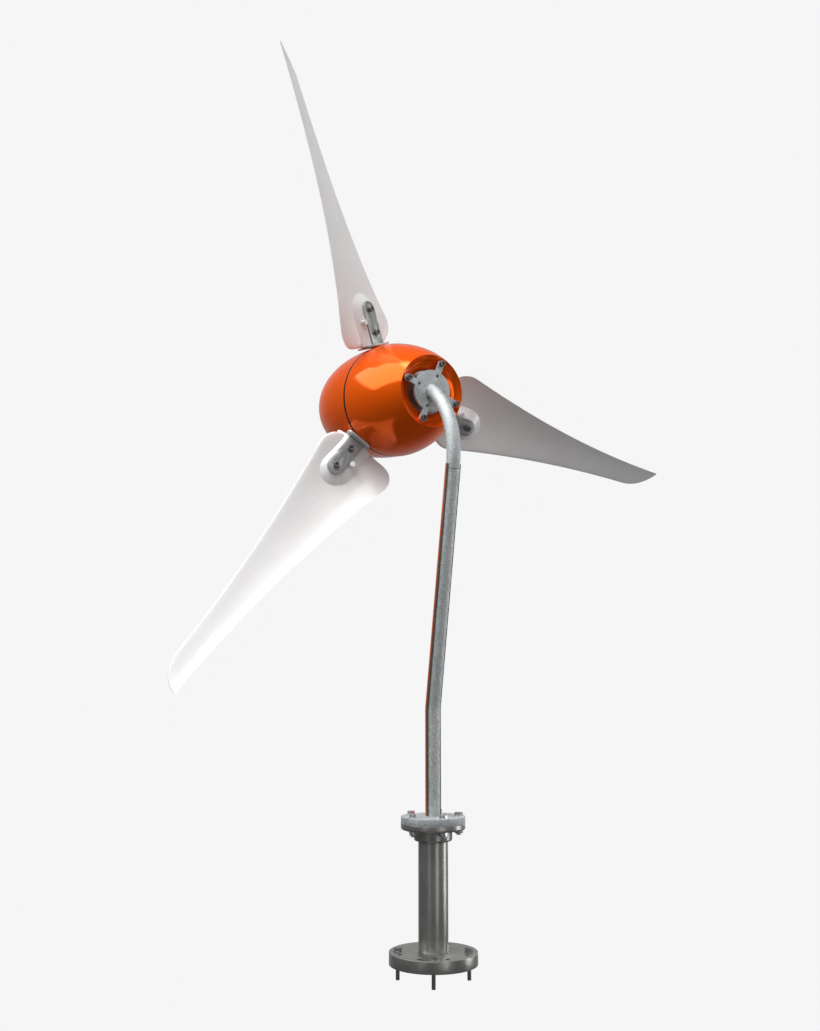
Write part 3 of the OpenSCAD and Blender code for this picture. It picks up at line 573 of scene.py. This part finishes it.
def boss_object(i):
    """Pad under the rear bracket plate, with softly rounded shoulders."""
    foot = stadium(BOSS_FOOT_HALF, SCREW_OUT, BLADE_ROOT)
    foot[0], foot[-1] = (BOSS_FOOT_RIGHT, BLADE_ROOT), (BOSS_FOOT_LEFT, BLADE_ROOT)
    rings = [[(x, y, z) for x, y in stadium(w, SCREW_OUT, BLADE_ROOT)] for w, z in BOSS_LEVELS]
    bm = bmesh.new()
    closed_loft(bm, rings + [[(x, y, BOSS_FOOT_Z) for x, y in foot]])
    bm.transform(bracket_frame(i))
    return as_object("boss", bm)


def front_pad_object(i):
    """Pad under the front bracket plate."""
    rings = [[(x, y, z) for x, y in stadium(w, SCREW_OUT, BLADE_ROOT)] for w, z in PAD_LEVELS]
    bm = bmesh.new()
    closed_loft(bm, rings)
    bm.transform(bracket_frame(i))
    return as_object("pad", bm)


def peg_object(i):
    """Round peg beside the rear bracket plate."""
    outline = rounded([(AXIS_R, PEG_REAR), (PEG_R, PEG_REAR), (PEG_R, PEG_FRONT),
                       (AXIS_R, PEG_FRONT)], {1: PEG_ROUNDING})
    bm = bmesh.new()
    lathe(bm, outline, 48)
    place_at = Matrix.Translation((PEG_X, (SCREW_IN + SCREW_OUT) / 2, 0))
    bm.transform(bracket_frame(i) @ place_at)
    return as_object("peg", bm)


def blade(i):
    """Blade i with its boss, pad and peg as one solid skin. Stations are closer at root and tip."""
    name = "blade_" + BLADES[i]
    root = [BLADE_ROOT + CORNER_LEN * (1 - math.cos(math.pi / 2 * k / 12)) for k in range(13)]
    middle_end = TIP_R - TIP_LEN
    middle = [root[-1] + (middle_end - root[-1]) * k / 40 for k in range(1, 41)]
    tip = [middle_end + TIP_LEN * math.sin(math.pi / 2 * k / 18) for k in range(1, 18)]
    bm = bmesh.new()
    closed_loft(bm, [blade_ring(r) for r in root + middle + tip])
    bm.transform(blade_frame(i))
    shell = as_object(name + "_v", bm)
    for tool in (boss_object(i), front_pad_object(i), peg_object(i)):
        join = shell.modifiers.new("join", "BOOLEAN")
        join.operation = "UNION"
        join.solver = "EXACT"
        join.object = tool
        dg = bpy.context.evaluated_depsgraph_get()
        mesh = bpy.data.meshes.new_from_object(shell.evaluated_get(dg))
        shell.modifiers.clear()
        shell.data = mesh
        bpy.data.objects.remove(tool)
    smooth(shell.data, 24.0)
    adopt(shell, [name])


# ---------- mast ----------

FLANGE_TOP, KINK_Z, LEAN = 0.3624, 0.634, math.radians(9)
LEAN_LEN, LEAD_LEN, BEND_R = 0.626, 0.012, 0.212
PIPE_R, PIPE_BORE, KINK_R = 0.0185, 0.015, 0.09
ELBOW_TURN, ELBOW_END_N = math.radians(76), -0.0024
WELD_RISE, WELD_WAVES, WELD_HALF = 0.00018, 23, 0.0014
FAIRING_IN, FAIRING_OUT, FAIRING_LEG, FAIRING_SPLAY = 0.01865, 0.01985, 0.0065, 0.00065
FAIRING_GAP, PAINTED_SHADE_FROM = 0.002, -0.002
UP = Vector((0, 0, 1))
LEANING = Vector((0, math.sin(LEAN), math.cos(LEAN)))


def mast_path(start, top):
    """Stations up the mast: straight, a small bend at the kink, then leaning back."""
    corner_at = Vector((0, 0, KINK_Z))
    reach = KINK_R * math.tan(LEAN / 2)
    centre = corner_at + Vector((0, KINK_R, -reach))
    path = [(Vector((0, 0, start)), UP)]
    for k in range(9):
        a = LEAN * k / 8
        place_at = centre + KINK_R * Vector((0, -math.cos(a), math.sin(a)))
        path.append((place_at, Vector((0, math.sin(a), math.cos(a)))))
    path.append((corner_at + LEANING * top, LEANING))
    return path


def elbow_path():
    """Stations from the weld: a short straight lead, then the bend towards the rotor's axis."""
    weld = Vector((0, 0, KINK_Z)) + LEANING * LEAN_LEN
    start = weld + LEANING * LEAD_LEN
    forward = Vector((0, -math.cos(LEAN), math.sin(LEAN)))
    centre = start + forward * BEND_R
    path = [(weld, LEANING)]
    for k in range(61):
        a = ELBOW_TURN * k / 60
        place_at = centre - forward * BEND_R * math.cos(a) + LEANING * BEND_R * math.sin(a)
        path.append((place_at, LEANING * math.cos(a) + forward * math.sin(a)))
    return path


def circle_section(radius, count=96):
    angles = [k * math.tau / count for k in range(count)]
    return [(radius * math.cos(a), radius * math.sin(a)) for a in angles]


def hollow_sweep(bm, path, outer, inner):
    """Tube along a path, closed at both ends."""
    rows = sweep(bm, circle_section(outer), path)
    bore = sweep(bm, circle_section(inner), path)
    bridge(bm, rows[0], bore[0])
    bridge(bm, rows[-1], bore[-1])


def mast_pipe():
    bm = bmesh.new()
    hollow_sweep(bm, mast_path(FLANGE_TOP, LEAN_LEN), PIPE_R, PIPE_BORE)
    finish_piece("mast_pipe_v", bm, ["mast_pipe"])


def mast_elbow():
    """Bent pipe, cut off flat where it meets the mounting plate."""
    bm = bmesh.new()
    hollow_sweep(bm, elbow_path(), PIPE_R, PIPE_BORE)
    nose_way = (ROTOR.to_3x3() @ Vector((0, 0, 1))).normalized()
    cut = bmesh.ops.bisect_plane(bm, geom=bm.verts[:] + bm.edges[:] + bm.faces[:],
                                 plane_co=ROTOR @ Vector((0, 0, ELBOW_END_N)),
                                 plane_no=nose_way, clear_outer=True)
    rim = [e for e in cut["geom_cut"] if isinstance(e, bmesh.types.BMEdge)]
    bmesh.ops.contextual_create(bm, geom=rim)
    finish_piece("mast_elbow_v", bm, ["mast_elbow"])


def mast_weld():
    """Low uneven bead between pipe and elbow."""
    weld = Vector((0, 0, KINK_Z)) + LEANING * LEAN_LEN
    bm = bmesh.new()
    rings = []
    for k in range(144):
        a = k * math.tau / 144
        rise = WELD_RISE * (1 + 0.4 * math.sin(WELD_WAVES * a))
        out = Vector((math.cos(a), 0, 0)) + LEANING.cross(Vector((1, 0, 0))) * math.sin(a)
        ring = []
        for m in range(8):
            t = m * math.tau / 8
            radius = PIPE_R + rise * (1.2 + 2.0 * math.cos(t))
            ring.append(weld + out * radius + LEANING * WELD_HALF * math.sin(t))
        rings.append(ring)
    skin(bm, rings)
    bead = finish_piece("mast_weld_v", bm, ["mast_elbow"])
    bead.data.materials[0] = MATERIALS["weld"]


def half_arc(radius, way):
    """Half circle around the mast's front, from -X when the way is 1 and from +X when it is -1."""
    start = math.pi if way > 0 else 0.0
    angles = [start + way * math.pi * k / 40 for k in range(41)]
    return [(radius * math.cos(a), radius * math.sin(a)) for a in angles]


def mast_fairing():
    """Orange channel around half the mast; the ends of its legs carry painted shade, a dark brown
    band.
    """
    out_tip, in_tip = FAIRING_OUT + FAIRING_SPLAY, FAIRING_IN + FAIRING_SPLAY
    section = [(-out_tip, FAIRING_LEG)] + half_arc(FAIRING_OUT, 1)
    section += [(out_tip, FAIRING_LEG), (in_tip, FAIRING_LEG)]
    section += half_arc(FAIRING_IN, -1) + [(-in_tip, FAIRING_LEG)]
    bm = bmesh.new()
    sweep(bm, section, mast_path(FLANGE_TOP + FAIRING_GAP, LEAN_LEN + LEAD_LEN))
    bm.faces.ensure_lookup_table()
    count = len(section)
    # Painted shade: the faces of the fairing's legs past PAINTED_SHADE_FROM get the dark brown
    # material.
    for index, face in enumerate(bm.faces):
        k = index % count
        if min(section[k][1], section[(k + 1) % count][1]) > PAINTED_SHADE_FROM:
            face.material_index = 1
    for ring in (bm.verts[:count], bm.verts[-count:]):
        bm.faces.new(ring)
    fairing = finish_piece("mast_fairing_v", bm, ["mast_fairing"])
    fairing.data.materials.append(MATERIALS["painted_shade_trim"])


# ---------- everything ----------

for node, piece in frame["nodes"].items():
    piece.data.materials.clear()
    piece.data.materials.append(MATERIALS[SLOT_OF[node]])
    for polygon in piece.data.polygons:
        polygon.material_index = 0

rear_cover()
nose_cover()
for index in range(3):
    blade(index)
mast_pipe()
mast_elbow()
mast_weld()
mast_fairing()

# Nodes that keep their CAD shape, and how much their edges are broken
BROKEN_EDGES = {
    "base_flange": 0.0006, "standpipe": 0.0006, "anchor_bolts": 0.0007, "anchor_washers": 0.0003,
    "yaw_hub": 0.0005, "mast_flange": 0.0008, "flange_bolts": 0.0007, "flange_nuts": 0.0007,
    "mounting_plate": 0.0008, "lug_screws": 0.0006, "blade_screws": 0.0005, "blade_nuts": 0.0005,
    "generator_rear_bell": 0.0008, "rotor_hub": 0.0004, "nose_screw": 0.0006,
}
BROKEN_EDGES.update({"blade_foot_" + letter: 0.0006 for letter in BLADES})
BROKEN_EDGES.update({"blade_plates_" + letter: 0.0005 for letter in BLADES})
# Pieces that look different from the rest of their material slot
OWN_LOOK = {"anchor_bolts": "anchor_steel", "anchor_washers": "anchor_steel"}
# The feet's lighter grey is partly painted light.
OWN_LOOK.update({"blade_foot_" + letter: "foot_grey_painted_light" for letter in BLADES})
HOLE_RING_IN, HOLE_RING_OUT = 0.083, 0.097


def paint_hole_shade(flange):
    """Paints shade into the flange's ring of bolt holes: their walls get the dark seal material, as
    painted shade.
    """
    flange.data.materials.append(MATERIALS["seal"])
    for face in flange.data.polygons:
        from_axis = Vector(face.center[:2]).length
        if abs(face.normal.z) < 0.5 and HOLE_RING_IN < from_axis < HOLE_RING_OUT:
            face.material_index = 1


for node, width in BROKEN_EDGES.items():
    broken = refined(node, width)
    if node in OWN_LOOK:
        broken.data.materials[0] = MATERIALS[OWN_LOOK[node]]
    # Painted shade on the walls of the base flange's bolt holes.
    if node == "base_flange":
        paint_hole_shade(broken)

# ---------- stage, light and camera ----------

CAMERA_AT = Vector((1.6524, 2.5260, 0.7088))
LOOK_AZIMUTH, LOOK_UP = math.radians(147.93), math.radians(8.135)
LOOK = Vector((-math.sin(LOOK_AZIMUTH) * math.cos(LOOK_UP),
               math.cos(LOOK_AZIMUTH) * math.cos(LOOK_UP), math.sin(LOOK_UP)))
RIGHT = Vector((math.cos(LOOK_AZIMUTH), math.sin(LOOK_AZIMUTH), 0))
TOWARDS_CAMERA = Vector((-LOOK.x, -LOOK.y, 0)).normalized()
LENS, SENSOR_WIDTH, CLIP_END = 40.041, 36, 200
TARGET = Vector((0, -0.1, 1.3))
FLOOR_R, FLOOR_GAP = 60, 0.0005
BACKGROUND = (0.921, 0.921, 0.921)
WORLD_LOW, WORLD_HIGH = (0.105, 0.105, 0.105), (0.225, 0.225, 0.23)
BACKDROP = (0.26, 0.26, 0.26)


def camera_only(tree, seen, unseen):
    """Mixes what the camera sees directly with what lights the object and reflects in it."""
    path = tree.nodes.new("ShaderNodeLightPath")
    mix = tree.nodes.new("ShaderNodeMixShader")
    tree.links.new(path.outputs["Is Camera Ray"], mix.inputs["Fac"])
    tree.links.new(unseen, mix.inputs[1])
    tree.links.new(seen, mix.inputs[2])
    return mix.outputs["Shader"]


def studio_world():
    """Soft light that grows towards the top, with a lighter part opposite the camera's place."""
    world = bpy.data.worlds.new("studio")
    world.use_nodes = True
    tree = world.node_tree
    tree.nodes.clear()
    coord = tree.nodes.new("ShaderNodeTexCoord")
    split = tree.nodes.new("ShaderNodeSeparateXYZ")
    tree.links.new(coord.outputs["Generated"], split.inputs["Vector"])
    height = tree.nodes.new("ShaderNodeMapRange")
    height.inputs["From Min"].default_value = -1.0
    tree.links.new(split.outputs["Z"], height.inputs["Value"])
    around = ramp(tree, height.outputs["Result"], 0.35, 0.95, WORLD_LOW, WORLD_HIGH)
    behind = tree.nodes.new("ShaderNodeVectorMath")
    behind.operation = "DOT_PRODUCT"
    behind.inputs[1].default_value = (LOOK.x, LOOK.y, 0)
    tree.links.new(coord.outputs["Generated"], behind.inputs[0])
    backdrop = ramp(tree, behind.outputs["Value"], 0.62, 0.90, (0, 0, 0), BACKDROP)
    sky = blend_color(tree, 1.0, around, backdrop, "ADD")
    lit = tree.nodes.new("ShaderNodeBackground")
    tree.links.new(sky, lit.inputs["Color"])
    seen = tree.nodes.new("ShaderNodeBackground")
    seen.inputs["Color"].default_value = (*BACKGROUND, 1)
    out = tree.nodes.new("ShaderNodeOutputWorld")
    both = camera_only(tree, seen.outputs["Background"], lit.outputs["Background"])
    tree.links.new(both, out.inputs["Surface"])
    scene.world = world


def floor():
    """Plain pale floor, seen by the camera alone, so that the low softboxes light the base."""
    bm = bmesh.new()
    bmesh.ops.create_circle(bm, cap_ends=True, segments=96, radius=FLOOR_R)
    mesh = bpy.data.meshes.new("floor")
    bm.to_mesh(mesh)
    bm.free()
    plane = bpy.data.objects.new("floor", mesh)
    plane.location.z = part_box("anchor_bolts")[0].z - FLOOR_GAP
    scene.collection.objects.link(plane)
    mat = bpy.data.materials.new("floor")
    mat.use_nodes = True
    tree = mat.node_tree
    tree.nodes.remove(tree.nodes["Principled BSDF"])
    pale = tree.nodes.new("ShaderNodeEmission")
    pale.inputs["Color"].default_value = (*BACKGROUND, 1)
    clear = tree.nodes.new("ShaderNodeBsdfTransparent")
    both = camera_only(tree, pale.outputs["Emission"], clear.outputs["BSDF"])
    tree.links.new(both, tree.nodes["Material Output"].inputs["Surface"])
    mesh.materials.append(mat)


def softbox(name, right, up, near, size, power, turn):
    """Area light aimed at the target, placed from it by the camera's directions in metres.

    The turn, in degrees, is in the light's own plane."""
    data = bpy.data.lights.new(name, "AREA")
    data.shape = "RECTANGLE"
    data.size, data.size_y = size
    data.energy = power
    lamp = bpy.data.objects.new(name, data)
    lamp.location = TARGET + RIGHT * right + UP * up + TOWARDS_CAMERA * near
    facing = (TARGET - lamp.location).to_track_quat("-Z", "Y").to_matrix()
    lamp.rotation_euler = (facing @ Matrix.Rotation(math.radians(turn), 3, "Z")).to_euler()
    scene.collection.objects.link(lamp)


def camera():
    data = bpy.data.cameras.new("camera")
    data.lens = LENS
    data.sensor_width = SENSOR_WIDTH
    data.clip_end = CLIP_END
    eye = bpy.data.objects.new("camera", data)
    eye.location = CAMERA_AT
    eye.rotation_euler = LOOK.to_track_quat("-Z", "Y").to_euler()
    scene.collection.objects.link(eye)
    scene.camera = eye


studio_world()
floor()
camera()
# Name, right, up and near, size, power and turn
SOFTBOXES = [
    ("key", -2.88, 2.9, 1.15, (4.4, 3.2), 180, 39),
    ("top", -0.4, 4.1, 1.75, (3.8, 2.8), 195, 0),
    ("right", 3.1, 1.38, 1.45, (0.9, 1.1), 9, 0),
    ("edge", 3.3, -0.1, -0.5, (0.7, 3.6), 36, 0),
    ("rim", 1.9, 0.3, -2.9, (0.8, 2.6), 34, 0),
    ("strip_right", 1.75, -0.6, 3.0, (0.35, 3.0), 9, 0),
    ("strip_left", -1.75, -0.6, 3.2, (0.35, 3.0), 3, 0),
]
for values in SOFTBOXES:
    softbox(*values)

scene.view_settings.view_transform = "Standard"
